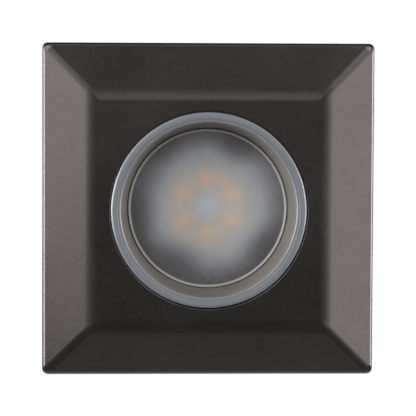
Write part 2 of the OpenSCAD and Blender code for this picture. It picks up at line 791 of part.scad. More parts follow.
module lampholder() color("snow") placed() difference() {
  union() {
    rounded_plate(holder_w, holder_h, holder_corner_r, holder_z, holder_end);
    up_and_down(holder_screw_at) post(0, 0, holder_end - over, can_end - plate_t, holder_foot_r);
  }
  arc_slot(holder_z - over, holder_z + key_plate_t + eps, pin_neck_r + key_gap);
  arc_slot(holder_z + key_plate_t, key_cavity_end, pin_head_r + key_gap);
  for (a = [0, 180]) rotate(a - twist) post(pin_at, 0, holder_z - over, key_cavity_end, pin_head_r + key_gap);
  up_and_down(holder_screw_at) post(0, 0, can_end - plate_t - holder_thread_l, can_end, holder_screw_r);
  up_and_down(lead_well.y) post(lead_well.x, 0, holder_end - lead_well_l, holder_end + over, lead_r + lead_well_gap);
}

module holder_contacts() color("gold") placed() for (a = [0, 180]) rotate(a)
  translate([0, 0, key_cavity_end - contact_t]) rotate(-twist) rotate_extrude(angle = twist)
    translate([pin_at - contact_w / 2, 0]) square([contact_w, contact_t]);

module holder_screws() color("silver") placed() up_and_down(holder_screw_at)
  cross_screw(0, 0, floor_z + washer_t, holder_screw_r, holder_screw_l, screw_head_r, screw_head_h);

module lock_washer() color("silver") placed() translate([0, -holder_screw_at, 0]) difference() {
  tube(floor_z, floor_z + washer_t, washer_r, holder_screw_r);
  block(0, washer_r + over, -washer_slit / 2, washer_slit / 2, floor_z - over, floor_z + washer_t + over);
}

tag_axis = floor_z + tag_barrel_r;
module earth_tag() color("silver") placed() translate([0, holder_screw_at, 0]) difference() {
  union() {
    tube(floor_z, floor_z + washer_t, washer_r, holder_screw_r);
    block(tag_neck, tag_l, -tag_w / 2, tag_w / 2, floor_z, floor_z + washer_t);
    along_x(tag_barrel_at, tag_barrel_at + tag_barrel_l, 0, tag_axis, tag_barrel_r);
  }
  along_x(tag_barrel_at - tag_fit, tag_barrel_at + tag_barrel_l + over, 0, tag_axis, lead_r + tag_fit);
}

module lead_grommet() color("#262626") placed() translate([lead_hole_at, 0, 0]) difference() {
  union() {
    post(0, 0, can_end - plate_t - grommet_flange_t, can_end - plate_t, lead_hole_r + grommet_flange);
    post(0, 0, can_end - plate_t - eps, floor_z + eps, lead_hole_r);
    post(0, 0, floor_z, floor_z + grommet_flange_t, lead_hole_r + grommet_flange);
  }
  post(0, 0, can_end - plate_t - grommet_flange_t - over, floor_z + grommet_flange_t + over, grommet_bore_r);
}

module lead(route, z) placed() translate([0, 0, z]) tube_along(spline(route, lead_steps), lead_r, lead_sides);

module live_lead() color("brown") lead(live_route, lamp_end);
module neutral_lead() color("royalblue") lead(neutral_route, lamp_end);
module earth_lead() color("yellowgreen") lead(earth_route, floor_z);

// ---- wiring box ----

module at_feet() up_and_down(pole_pitch / 2) translate([block_mid, 0, 0]) children();

module at_poles() for (i = [-1:1]) translate([0, i * pole_pitch, 0]) children();

module at_pole_screws() at_poles() for (side = [-1, 1])
  translate([block_mid + side * pole_screw_at, 0, 0]) children();

module at_clamp_screws() up_and_down(clamp_screw_at) translate([clamp_x, 0, 0]) children();

module terminal_box() color("#e8e6df") placed() difference() {
  union() {
    difference() {
      rounded_plate(box_w, box_h, box_corner_r, can_end, box_end);
      rounded_plate(box_w - 2 * box_t, box_h - 2 * box_t, box_corner_r - box_t + 0.2, floor_z, box_end + over);
    }
    at_feet() block(-foot_w / 2, foot_w / 2, -foot_h / 2, foot_h / 2, floor_z - eps, block_z0);
    at_clamp_screws() post(0, 0, floor_z - eps, clamp_z0, clamp_post_r);
    block(clamp_x - saddle_w / 2, clamp_x + saddle_w / 2, -saddle_h / 2, saddle_h / 2, floor_z - eps, cable_z - cable_r);
    for (side = [-1, 1]) translate([side * (hinge_half - ear_w / 2), 0, 0]) {
      block(-ear_w / 2, ear_w / 2, hinge_y, over - box_h / 2, hinge_z - ear_down, hinge_z);
      along_x(-ear_w / 2, ear_w / 2, hinge_y, hinge_z, hinge_r);
    }
    block(-catch_w / 2, catch_w / 2, box_h / 2 - over, box_h / 2 + catch_out, box_end - catch_at - catch_h, box_end - catch_at);
  }
  up_and_down(holder_screw_at) post(0, 0, can_end - over, floor_z + over, holder_screw_r + holder_screw_gap);
  at_clamp_screws() post(0, 0, clamp_z0 - clamp_thread_l, clamp_z0 + over, clamp_screw_r);
  at_feet() post(0, 0, block_z0 - block_screw_well, block_z0 + over, block_screw_r);
  post(lead_hole_at, 0, can_end - over, floor_z + over, lead_hole_r);
  along_x(-box_w / 2 - over, -box_w / 2 + box_t + over, 0, cable_z, cable_r + cable_wall);
  along_x(-hinge_half - over, hinge_half + over, hinge_y, hinge_z, hinge_pin_r);
}

module terminal_block() color("whitesmoke") placed() difference() {
  union() {
    block(block_x0, block_x1, -block_h / 2, block_h / 2, block_z0, block_base_z);
    at_poles() block(block_x0 + tower_inset, block_x1 - tower_inset, -tower_w / 2, tower_w / 2, block_z0, block_z1);
  }
  at_poles() along_x(block_x0 - over, block_x1 + over, 0, pole_z, insert_r);
  at_pole_screws() post(0, 0, pole_z, block_z1 + over, pole_screw_r + pole_screw_gap);
  at_feet() post(0, 0, block_z0 - over, block_z1, block_screw_r + block_screw_gap);
}

module terminal_inserts() color("gold") placed() difference() {
  at_poles() along_x(block_x0 + insert_inset, block_x1 - insert_inset, 0, pole_z, insert_r);
  at_poles() along_x(block_x0 - over, block_x1 + over, 0, pole_z, pole_r);
  at_pole_screws() post(0, 0, pole_z, pole_z + insert_r + over, pole_screw_r);
}

screw_top = block_z1 - pole_screw_sunk;
module terminal_screws() color("silver") placed() at_pole_screws() difference() {
  post(0, 0, pole_z + lead_r + pole_screw_bite, screw_top, pole_screw_r);
  block(-pole_screw_r - over, pole_screw_r + over, -slot_w / 2, slot_w / 2, screw_top - slot_d, screw_top + over);
}

module block_screws() color("silver") placed() at_feet() cross_screw(
  0, 0, block_base_z, block_screw_r, block_screw_l, block_screw_head_r, block_screw_head_h, slot_w
);

module cable_grommet() color("#262626") placed() difference() {
  union() {
    along_x(-box_w / 2 - cable_lip_t, -box_w / 2, 0, cable_z, cable_r + cable_wall + cable_lip);
    along_x(-box_w / 2 - eps, -box_w / 2 + box_t + eps, 0, cable_z, cable_r + cable_wall);
    along_x(-box_w / 2 + box_t, -box_w / 2 + box_t + cable_inner_lip_t, 0, cable_z, cable_r + cable_wall + cable_inner_lip);
  }
  along_x(-box_w / 2 - cable_lip_t - over, -box_w / 2 + box_t + cable_inner_lip_t + over, 0, cable_z, cable_r);
}

clamp_half = clamp_screw_at + clamp_post_r;
module cord_clamp() color("#d9d6cc") placed() difference() {
  block(clamp_x - clamp_w / 2, clamp_x + clamp_w / 2, -clamp_half, clamp_half, clamp_z0, clamp_z1);
  along_x(clamp_x - clamp_w, clamp_x + clamp_w, 0, cable_z, cable_r);
  at_clamp_screws() post(0, 0, clamp_z0 - over, clamp_z1 + over, clamp_screw_r + clamp_screw_gap);
}

module clamp_screws() color("silver") placed() at_clamp_screws()
  cross_screw(0, 0, clamp_z1, clamp_screw_r, clamp_screw_l, clamp_screw_head_r, clamp_screw_head_h);

latch_in = box_h / 2 + latch_gap;
module terminal_lid() color("#efede6") placed() difference() {
  union() {
    translate([0, lid_short / 2, 0]) rounded_plate(box_w, box_h - lid_short, box_corner_r, lid_z, lid_z + lid_t);
    for (side = [-1, 1]) translate([side * lid_ear_at, 0, 0]) {
      along_x(-ear_w / 2, ear_w / 2, hinge_y, hinge_z, hinge_r);
      block(-ear_w / 2, ear_w / 2, hinge_y, over - box_h / 2, lid_z, hinge_z + hinge_r);
    }
    block(-latch_w / 2, latch_w / 2, box_h / 2 - over, latch_in + latch_t, lid_z, lid_z + lid_t);
    block(-latch_w / 2, latch_w / 2, latch_in, latch_in + latch_t, box_end - latch_l, lid_z + eps);
  }
  along_x(-box_w / 2, box_w / 2, hinge_y, hinge_z, hinge_pin_r + run_gap);
  for (i = [-1:1]) translate([i * grip_pitch, grip_off, 0])
    rounded_plate(grip_w, grip_l, grip_w / 2 - eps, lid_z + lid_t - grip_d, lid_z + lid_t + over);
}

module lid_hinge_pin() color("silver") placed()
  along_x(-hinge_half - hinge_pin_end, hinge_half + hinge_pin_end, hinge_y, hinge_z, hinge_pin_r);

bezel();
wall_gasket();
can();
can_screws();
upper_clip_bracket();
upper_clip_rivets();
upper_clip_pin();
upper_clip_arm();
upper_clip_boot();
upper_clip_spring();
lower_clip_bracket();
lower_clip_rivets();
lower_clip_pin();
lower_clip_arm();
lower_clip_boot();
lower_clip_spring();
lamp_glass();
lamp_cover();
led_board();
led_packages();
led_phosphors();
led_board_screws();
lamp_core();
lamp_base();
driver_board();
driver_capacitor();
driver_coil();
driver_chip();
link_pins();
lamp_pins();
lampholder();
holder_contacts();
holder_screws();
lock_washer();
earth_tag();
lead_grommet();
live_lead();
neutral_lead();
earth_lead();
terminal_box();
terminal_block();
terminal_inserts();
terminal_screws();
block_screws();
cable_grommet();
cord_clamp();
clamp_screws();
terminal_lid();
lid_hinge_pin();
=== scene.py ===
import json
import math
import bpy
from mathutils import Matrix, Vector

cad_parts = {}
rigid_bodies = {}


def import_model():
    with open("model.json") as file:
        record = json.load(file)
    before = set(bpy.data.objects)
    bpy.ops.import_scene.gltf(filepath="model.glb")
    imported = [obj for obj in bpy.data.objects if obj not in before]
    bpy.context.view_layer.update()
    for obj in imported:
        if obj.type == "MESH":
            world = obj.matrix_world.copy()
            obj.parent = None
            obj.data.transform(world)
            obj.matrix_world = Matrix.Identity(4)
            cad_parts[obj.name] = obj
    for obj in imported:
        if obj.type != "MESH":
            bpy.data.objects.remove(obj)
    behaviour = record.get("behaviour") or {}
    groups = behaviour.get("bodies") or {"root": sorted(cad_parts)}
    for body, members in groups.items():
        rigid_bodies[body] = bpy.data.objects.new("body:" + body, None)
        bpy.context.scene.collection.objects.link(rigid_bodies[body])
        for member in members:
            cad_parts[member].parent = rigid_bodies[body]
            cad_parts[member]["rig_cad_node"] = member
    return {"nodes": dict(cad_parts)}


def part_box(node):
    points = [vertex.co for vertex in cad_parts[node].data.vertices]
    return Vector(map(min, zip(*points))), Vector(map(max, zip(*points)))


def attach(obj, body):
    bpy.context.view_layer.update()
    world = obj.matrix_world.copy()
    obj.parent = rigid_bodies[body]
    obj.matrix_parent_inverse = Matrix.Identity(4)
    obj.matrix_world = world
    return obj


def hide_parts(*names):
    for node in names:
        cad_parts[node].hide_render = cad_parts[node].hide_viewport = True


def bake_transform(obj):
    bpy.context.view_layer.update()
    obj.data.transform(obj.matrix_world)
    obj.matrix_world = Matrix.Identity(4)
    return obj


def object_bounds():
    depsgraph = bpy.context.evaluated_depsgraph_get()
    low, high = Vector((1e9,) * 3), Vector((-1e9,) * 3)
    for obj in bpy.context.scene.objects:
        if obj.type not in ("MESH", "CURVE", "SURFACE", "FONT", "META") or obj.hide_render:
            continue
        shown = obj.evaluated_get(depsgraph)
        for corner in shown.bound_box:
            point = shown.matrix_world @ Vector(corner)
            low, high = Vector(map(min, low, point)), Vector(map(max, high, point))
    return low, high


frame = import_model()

cadLow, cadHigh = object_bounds()
nodes = frame["nodes"]
mm = 0.001


def letGo():
    if bpy.context.object and bpy.context.object.mode != "OBJECT":
        bpy.ops.object.mode_set(mode="OBJECT")
    bpy.ops.object.select_all(action="DESELECT")


def makeActive(piece):
    letGo()
    piece.select_set(True)
    bpy.context.view_layer.objects.active = piece


def settle(piece):  # place, turn and scale go into the mesh
    makeActive(piece)
    bpy.ops.object.transform_apply(location=True, rotation=True, scale=True)


def pickFaces(piece, test):  # test(centre, normal), leaves edit mode open
    makeActive(piece)
    bpy.ops.object.mode_set(mode="EDIT")
    bpy.ops.mesh.select_mode(type="FACE")
    bpy.ops.mesh.select_all(action="DESELECT")
    bpy.ops.object.mode_set(mode="OBJECT")
    for f in piece.data.polygons:
        f.select = bool(test(f.center, f.normal))
    bpy.ops.object.mode_set(mode="EDIT")


def pickEdges(piece, test):  # test(one end, other end), leaves edit mode open
    makeActive(piece)
    bpy.ops.object.mode_set(mode="EDIT")
    bpy.ops.mesh.select_mode(type="EDGE")
    bpy.ops.mesh.select_all(action="DESELECT")
    bpy.ops.object.mode_set(mode="OBJECT")
    points = piece.data.vertices
    for e in piece.data.edges:
        e.select = bool(test(points[e.vertices[0]].co, points[e.vertices[1]].co))
    bpy.ops.object.mode_set(mode="EDIT")


def doneEditing():
    bpy.ops.object.mode_set(mode="OBJECT")


def cleanShell(piece):
    makeActive(piece)
    bpy.ops.object.mode_set(mode="EDIT")
    bpy.ops.mesh.select_all(action="SELECT")
    bpy.ops.mesh.remove_doubles(threshold=0.000002)
    bpy.ops.mesh.normals_make_consistent(inside=False)
    doneEditing()


def applyModifiers(piece):
    makeActive(piece)
    for m in list(piece.modifiers):
        bpy.ops.object.modifier_apply(modifier=m.name)


def roundEdges(piece, width, steps=3, limit=30):
    b = piece.modifiers.new("soften", "BEVEL")
    b.width = width
    b.segments = steps
    b.limit_method = "ANGLE"
    b.angle_limit = math.radians(limit)
    b.use_clamp_overlap = True
    b.miter_outer = "MITER_ARC"
    applyModifiers(piece)


def shade(piece, angle=30, weighted=True):
    makeActive(piece)
    bpy.ops.object.shade_smooth_by_angle(angle=math.radians(angle))
    if weighted:
        w = piece.modifiers.new("evenShading", "WEIGHTED_NORMAL")
        w.keep_sharp = True
        applyModifiers(piece)


def turnOutline(name, outline, around, fill, mode):
    # a ring at the first (radius, y) point is extruded from point to point along the light's axis
    letGo()
    r, y = outline[0]
    bpy.ops.mesh.primitive_circle_add(vertices=around, radius=r, fill_type=fill, location=(0, y, 0),
                                      rotation=(math.pi / 2, 0, 0))
    piece = bpy.context.object
    piece.name = name
    settle(piece)
    bpy.ops.object.mode_set(mode="EDIT")
    bpy.ops.mesh.select_mode(type=mode)
    bpy.ops.mesh.select_all(action="SELECT")
    for r1, y1 in outline[1:]:
        bpy.ops.mesh.extrude_region_move(TRANSFORM_OT_translate={"value": (0, y1 - y, 0)})
        bpy.ops.transform.resize(value=(r1 / r, 1, r1 / r), center_override=(0, y1, 0))
        r, y = r1, y1
    doneEditing()
    cleanShell(piece)
    return piece


def turned(name, outline, around=96):  # a closed walk of (radius, y) points
    return turnOutline(name, outline + outline[:1], around, "NOTHING", "EDGE")


def turnedSolid(name, outline, around=96):  # an open walk, with a flat cap at both ends
    return turnOutline(name, outline, around, "NGON", "FACE")


def bar(name, lowCorner, highCorner):
    letGo()
    low, high = Vector(lowCorner), Vector(highCorner)
    bpy.ops.mesh.primitive_cube_add(size=1, location=(low + high) / 2)
    piece = bpy.context.object
    piece.name = name
    piece.scale = high - low
    settle(piece)
    return piece


def rod(name, start, end, radius, around=32):
    letGo()
    start, end = Vector(start), Vector(end)
    bpy.ops.mesh.primitive_cylinder_add(vertices=around, radius=radius, depth=(end - start).length,
                                        location=(start + end) / 2,
                                        rotation=(end - start).to_track_quat("Z", "Y").to_euler())
    piece = bpy.context.object
    piece.name = name
    settle(piece)
    return piece


def boolean(piece, tool, operation):
    m = piece.modifiers.new("shape", "BOOLEAN")
    m.operation = operation
    m.solver = "EXACT"
    m.object = tool
    applyModifiers(piece)
    bpy.data.objects.remove(tool)
    return piece


def carve(piece, tool):
    return boolean(piece, tool, "DIFFERENCE")


def addTo(piece, extra):
    return boolean(piece, extra, "UNION")


def softened(node, name, width, steps=2, limit=32):
    # a copy of a plain solid, merged, with its flat faces made whole and its edges broken
    letGo()
    nodes[node].select_set(True)
    bpy.context.view_layer.objects.active = nodes[node]
    bpy.ops.object.duplicate()
    piece = bpy.context.object
    piece.name = name
    del piece["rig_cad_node"]
    piece.parent = None
    piece.data.materials.clear()
    makeActive(piece)
    bpy.ops.mesh.customdata_custom_splitnormals_clear()
    bpy.ops.object.mode_set(mode="EDIT")
    bpy.ops.mesh.select_all(action="SELECT")
    bpy.ops.mesh.remove_doubles(threshold=0.000004)
    bpy.ops.mesh.dissolve_limited(angle_limit=math.radians(0.5))
    doneEditing()
    if width:
        roundEdges(piece, width, steps, limit)
    shade(piece, 40)
    return piece


def rideOn(piece, body, slot, *stoodFor):
    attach(piece, body)
    if stoodFor:
        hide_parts(*stoodFor)
    return piece


def effectGroup(name, ins, outs):
    g = bpy.data.node_groups.new(name, "ShaderNodeTree")
    for label, kind, value in ins:
        s = g.interface.new_socket(name=label, in_out="INPUT", socket_type=kind)
        if value is not None:
            s.default_value = value
    for label, kind in outs:
        g.interface.new_socket(name=label, in_out="OUTPUT", socket_type=kind)
    return g, g.nodes.new("NodeGroupInput"), g.nodes.new("NodeGroupOutput")


def mathNode(tree, kind, a, b=None):
    n = tree.nodes.new("ShaderNodeMath")
    n.operation = kind
    for i, v in enumerate((a, b)):
        if v is None:
            continue
        if isinstance(v, (int, float)):
            n.inputs[i].default_value = v
        else:
            tree.links.new(v, n.inputs[i])
    return n.outputs[0]


def rampBetween(tree, value, low, high, toLow=0.0, toHigh=1.0, soft=True):
    n = tree.nodes.new("ShaderNodeMapRange")
    n.interpolation_type = "SMOOTHSTEP" if soft else "LINEAR"
    tree.links.new(value, n.inputs["Value"])
    n.inputs["From Min"].default_value = low
    n.inputs["From Max"].default_value = high
    n.inputs["To Min"].default_value = toLow
    n.inputs["To Max"].default_value = toHigh
    return n.outputs["Result"]


def mixColours(tree, factor, a, b):
    n = tree.nodes.new("ShaderNodeMix")
    n.data_type = "RGBA"
    tree.links.new(factor, n.inputs["Factor"])
    for socket, v in ((n.inputs["A"], a), (n.inputs["B"], b)):
        if isinstance(v, tuple):
            socket.default_value = (*v, 1)
        else:
            tree.links.new(v, socket)
    return n.outputs["Result"]


def buildFineGrain():
    # a fine even grain, such as powder paint, cast metal or moulded plastic has
    ins = [("Vector", "NodeSocketVector", None), ("Scale", "NodeSocketFloat", 2000.0)]
    g, gi, go = effectGroup("fineGrain", ins, [("Tone", "NodeSocketFloat"), ("Height", "NodeSocketFloat")])
    fine = g.nodes.new("ShaderNodeTexNoise")
    fine.inputs["Detail"].default_value = 3.0
    fine.inputs["Roughness"].default_value = 0.65
    g.links.new(gi.outputs["Vector"], fine.inputs["Vector"])
    g.links.new(gi.outputs["Scale"], fine.inputs["Scale"])
    coarse = g.nodes.new("ShaderNodeTexNoise")
    coarse.inputs["Detail"].default_value = 2.0
    g.links.new(gi.outputs["Vector"], coarse.inputs["Vector"])
    g.links.new(mathNode(g, "MULTIPLY", gi.outputs["Scale"], 0.22), coarse.inputs["Scale"])
    both = mathNode(g, "ADD", mathNode(g, "MULTIPLY", fine.outputs["Fac"], 0.7),
                    mathNode(g, "MULTIPLY", coarse.outputs["Fac"], 0.3))
    g.links.new(rampBetween(g, both, 0.35, 0.65), go.inputs["Tone"])
    g.links.new(both, go.inputs["Height"])
    return g


def buildSoftMottle():
    # slow, soft changes of tone over a surface
    ins = [("Vector", "NodeSocketVector", None), ("Scale", "NodeSocketFloat", 60.0)]
    g, gi, go = effectGroup("softMottle", ins, [("Tone", "NodeSocketFloat")])
    n = g.nodes.new("ShaderNodeTexNoise")
    n.inputs["Detail"].default_value = 4.0
    n.inputs["Roughness"].default_value = 0.55
    g.links.new(gi.outputs["Vector"], n.inputs["Vector"])
    g.links.new(gi.outputs["Scale"], n.inputs["Scale"])
    g.links.new(rampBetween(g, n.outputs["Fac"], 0.3, 0.7), go.inputs["Tone"])
    return g


fineGrain = buildFineGrain()
softMottle = buildSoftMottle()


def startMaterial(name):
    m = bpy.data.materials.new(name)
    m.use_nodes = True
    tree = m.node_tree
    shader = tree.nodes["Principled BSDF"]
    place = tree.nodes.new("ShaderNodeTexCoord")
    mapping = tree.nodes.new("ShaderNodeMapping")
    tree.links.new(place.outputs["Object"], mapping.inputs["Vector"])
    return m, tree, shader, mapping


def useEffect(tree, effect, vector, scale):
    n = tree.nodes.new("ShaderNodeGroup")
    n.node_tree = effect
    tree.links.new(vector, n.inputs["Vector"])
    n.inputs["Scale"].default_value = scale
    return n


def bumpFrom(tree, shader, height, strength, depth):
    b = tree.nodes.new("ShaderNodeBump")
    b.inputs["Strength"].default_value = strength
    b.inputs["Distance"].default_value = depth
    tree.links.new(height, b.inputs["Height"])
    tree.links.new(b.outputs["Normal"], shader.inputs["Normal"])


coatRoughness = 0.1
glowDepth = 1 * mm            # how far light goes into pale plastic


def finishMaterial(name, look):
    # colour runs from look["dark"] to look["light"] with the mottle, and a little with the grain
    m, tree, shader, mapping = startMaterial(name)
    mapping.inputs["Scale"].default_value = look.get("stretch", (1, 1, 1))
    grain = useEffect(tree, fineGrain, mapping.outputs["Vector"], look.get("grain", 2500))
    mottle = useEffect(tree, softMottle, mapping.outputs["Vector"], look.get("mottle", 90))
    share = look.get("grainShare", 0.35)
    tone = mathNode(tree, "ADD", mathNode(tree, "MULTIPLY", grain.outputs["Tone"], share),
                    mathNode(tree, "MULTIPLY", mottle.outputs["Tone"], 1 - share))
    tree.links.new(mixColours(tree, tone, look["dark"], look["light"]), shader.inputs["Base Color"])
    low, high = look["rough"]
    tree.links.new(rampBetween(tree, tone, 0, 1, low, high, soft=False), shader.inputs["Roughness"])
    shader.inputs["Metallic"].default_value = look.get("metallic", 0)
    shader.inputs["Coat Weight"].default_value = look.get("coat", 0)
    shader.inputs["Coat Roughness"].default_value = coatRoughness
    shader.inputs["Subsurface Weight"].default_value = look.get("glow", 0)
    shader.inputs["Subsurface Scale"].default_value = glowDepth
    bumpFrom(tree, shader, grain.outputs["Height"], look.get("bump", 0.2), look.get("depth", 0.00003))
    return m


finishes = {
    "bezelBronze": dict(
        dark=(0.118, 0.1035, 0.1015), light=(0.154, 0.1375, 0.135), rough=(0.27, 0.34), metallic=0.93,
        grain=4200, mottle=55, grainShare=0.6, bump=0.22, depth=0.00002),
    "foamBlack": dict(
        dark=(0.012, 0.012, 0.012), light=(0.035, 0.035, 0.034), rough=(0.85, 0.98), grain=1600,
        bump=0.7, depth=0.0001),
    "canPaint": dict(
        dark=(0.40, 0.41, 0.42), light=(0.50, 0.51, 0.52), rough=(0.36, 0.5), metallic=0.75, grain=1800,
        mottle=40, bump=0.15),
    "zincPlate": dict(
        dark=(0.50, 0.50, 0.47), light=(0.68, 0.68, 0.66), rough=(0.25, 0.42), metallic=1, grain=1500,
        mottle=160, bump=0.12),
    "springSteel": dict(
        dark=(0.28, 0.27, 0.27), light=(0.42, 0.41, 0.41), rough=(0.25, 0.4), metallic=1, grain=3000,
        mottle=300, bump=0.1),
    "bootRubber": dict(
        dark=(0.015, 0.015, 0.015), light=(0.04, 0.04, 0.04), rough=(0.6, 0.8), grain=2500, bump=0.3),
    "boardWhite": dict(
        dark=(0.72, 0.72, 0.70), light=(0.84, 0.84, 0.82), rough=(0.35, 0.5), grain=1800, bump=0.1),
    "ledBody": dict(
        dark=(0.78, 0.76, 0.70), light=(0.88, 0.86, 0.80), rough=(0.25, 0.35), grain=3000, bump=0.05),
    "ledPhosphor": dict(
        dark=(0.80, 0.50, 0.10), light=(0.90, 0.62, 0.16), rough=(0.3, 0.45), grain=4000, bump=0.2,
        glow=0.3),
    "coreAluminium": dict(
        dark=(0.62, 0.62, 0.63), light=(0.76, 0.76, 0.77), rough=(0.3, 0.5), metallic=1, grain=1200,
        stretch=(1, 8, 1), bump=0.15),
    "lampPlastic": dict(
        dark=(0.76, 0.76, 0.73), light=(0.84, 0.84, 0.82), rough=(0.28, 0.4), grain=2500, coat=0.2,
        bump=0.05),
    "boardGreen": dict(
        dark=(0.01, 0.10, 0.04), light=(0.03, 0.17, 0.07), rough=(0.3, 0.45), grain=1500, coat=0.3),
    "capacitorSleeve": dict(
        dark=(0.015, 0.02, 0.035), light=(0.03, 0.035, 0.055), rough=(0.25, 0.35), grain=1500,
        coat=0.4),
    "coilCopper": dict(
        dark=(0.42, 0.17, 0.07), light=(0.68, 0.33, 0.16), rough=(0.25, 0.4), metallic=1, grain=900,
        stretch=(1, 9, 1), bump=0.5, depth=0.00008),
    "chipBlack": dict(
        dark=(0.012, 0.012, 0.012), light=(0.03, 0.03, 0.03), rough=(0.5, 0.65), grain=2500),
    "pinNickel": dict(
        dark=(0.55, 0.50, 0.40), light=(0.72, 0.67, 0.56), rough=(0.18, 0.3), metallic=1, grain=1500,
        bump=0.08),
    "steatite": dict(
        dark=(0.66, 0.63, 0.56), light=(0.80, 0.77, 0.71), rough=(0.45, 0.65), grain=1300, mottle=120,
        bump=0.25),
    "contactBrass": dict(
        dark=(0.58, 0.38, 0.12), light=(0.78, 0.56, 0.24), rough=(0.2, 0.35), metallic=1, grain=1500,
        bump=0.08),
    "leadBrown": dict(
        dark=(0.07, 0.025, 0.012), light=(0.12, 0.045, 0.02), rough=(0.35, 0.5), grain=2500),
    "leadBlue": dict(dark=(0.015, 0.09, 0.30), light=(0.03, 0.15, 0.42), rough=(0.35, 0.5), grain=2500),
    "leadGreen": dict(dark=(0.16, 0.30, 0.02), light=(0.30, 0.44, 0.03), rough=(0.35, 0.5), grain=2500),
    "boxNylon": dict(
        dark=(0.66, 0.645, 0.60), light=(0.76, 0.745, 0.70), rough=(0.42, 0.56), grain=1400, mottle=50,
        bump=0.25, depth=0.00004, glow=0.1),
    "blockNylon": dict(
        dark=(0.74, 0.74, 0.71), light=(0.84, 0.84, 0.81), rough=(0.35, 0.5), grain=2200, glow=0.15),
    "grommetRubber": dict(
        dark=(0.012, 0.012, 0.012), light=(0.035, 0.035, 0.035), rough=(0.5, 0.7), grain=2000,
        bump=0.3),
}
material = {name: finishMaterial(name, look) for name, look in finishes.items()}
print("finishes made:", len(material))


def dress(piece, m):
    piece.data.materials.clear()
    piece.data.materials.append(m)


nodeFinish = {
    "bezel": "bezelBronze", "wall_gasket": "foamBlack", "can": "canPaint", "can_screws": "zincPlate",
    "lamp_glass": "lampPlastic", "lamp_cover": "lampPlastic", "led_board": "boardWhite",
    "led_packages": "ledBody", "led_phosphors": "ledPhosphor", "led_board_screws": "zincPlate",
    "lamp_core": "coreAluminium", "lamp_base": "lampPlastic", "driver_board": "boardGreen",
    "driver_capacitor": "capacitorSleeve", "driver_coil": "coilCopper", "driver_chip": "chipBlack",
    "link_pins": "contactBrass", "lamp_pins": "pinNickel", "lampholder": "steatite",
    "holder_contacts": "contactBrass", "holder_screws": "zincPlate", "lock_washer": "zincPlate",
    "earth_tag": "zincPlate", "lead_grommet": "grommetRubber", "live_lead": "leadBrown",
    "neutral_lead": "leadBlue", "earth_lead": "leadGreen", "terminal_box": "boxNylon",
    "terminal_block": "blockNylon", "terminal_inserts": "contactBrass", "terminal_screws": "zincPlate",
    "block_screws": "zincPlate", "cable_grommet": "grommetRubber", "cord_clamp": "boxNylon",
    "clamp_screws": "zincPlate", "terminal_lid": "boxNylon", "lid_hinge_pin": "zincPlate",
}
for side in ("upper", "lower"):
    nodeFinish.update({side + "_clip_" + k: f for k, f in (
        ("bracket", "zincPlate"), ("rivets", "zincPlate"), ("pin", "zincPlate"), ("arm", "zincPlate"),
        ("boot", "bootRubber"), ("spring", "springSteel"))})
for node, finish in nodeFinish.items():
    dress(nodes[node], material[finish])
print("frame nodes dressed:", len(nodeFinish))


low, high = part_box("bezel")
bezelSet = {
    "width": high.x - low.x,
    "front": low.y,              # flat face
    "back": -1.0 * mm,           # rim that carries the gasket
    "lip": 1.4 * mm,             # straight outer edge
    "faceWidth": 59.5 * mm,
    "softest": 2.1 * mm,         # bevel of an edge of weight 1
    "cornerWeight": 0.72,        # upright corners
    "faceWeight": 1.0,           # edges of the flat face
    "ridgeWeight": 0.62,         # ridges between two slopes
    "lipWeight": 0.44,
    "rim": 4.5 * mm,
    "skin": 2.0 * mm,
    "lampHole": 25.12 * mm,
    "holeRound": 0.35 * mm,
    "bevelSteps": 8,
    "collarOut": 34.0 * mm,
    "collarRoot": 33.6 * mm,
    "collarIn": 32.4 * mm,
    "collarEnd": high.y,
    "collarFrom": 2.3 * mm,      # behind the flat face, clear of the slopes
    "bossAt": 29.95 * mm,        # from the axis
    "boss": 3.2 * mm,
    "sleeveOut": 27.0 * mm,
    "sleeveFrom": 0.9 * mm,      # behind the flat face
}


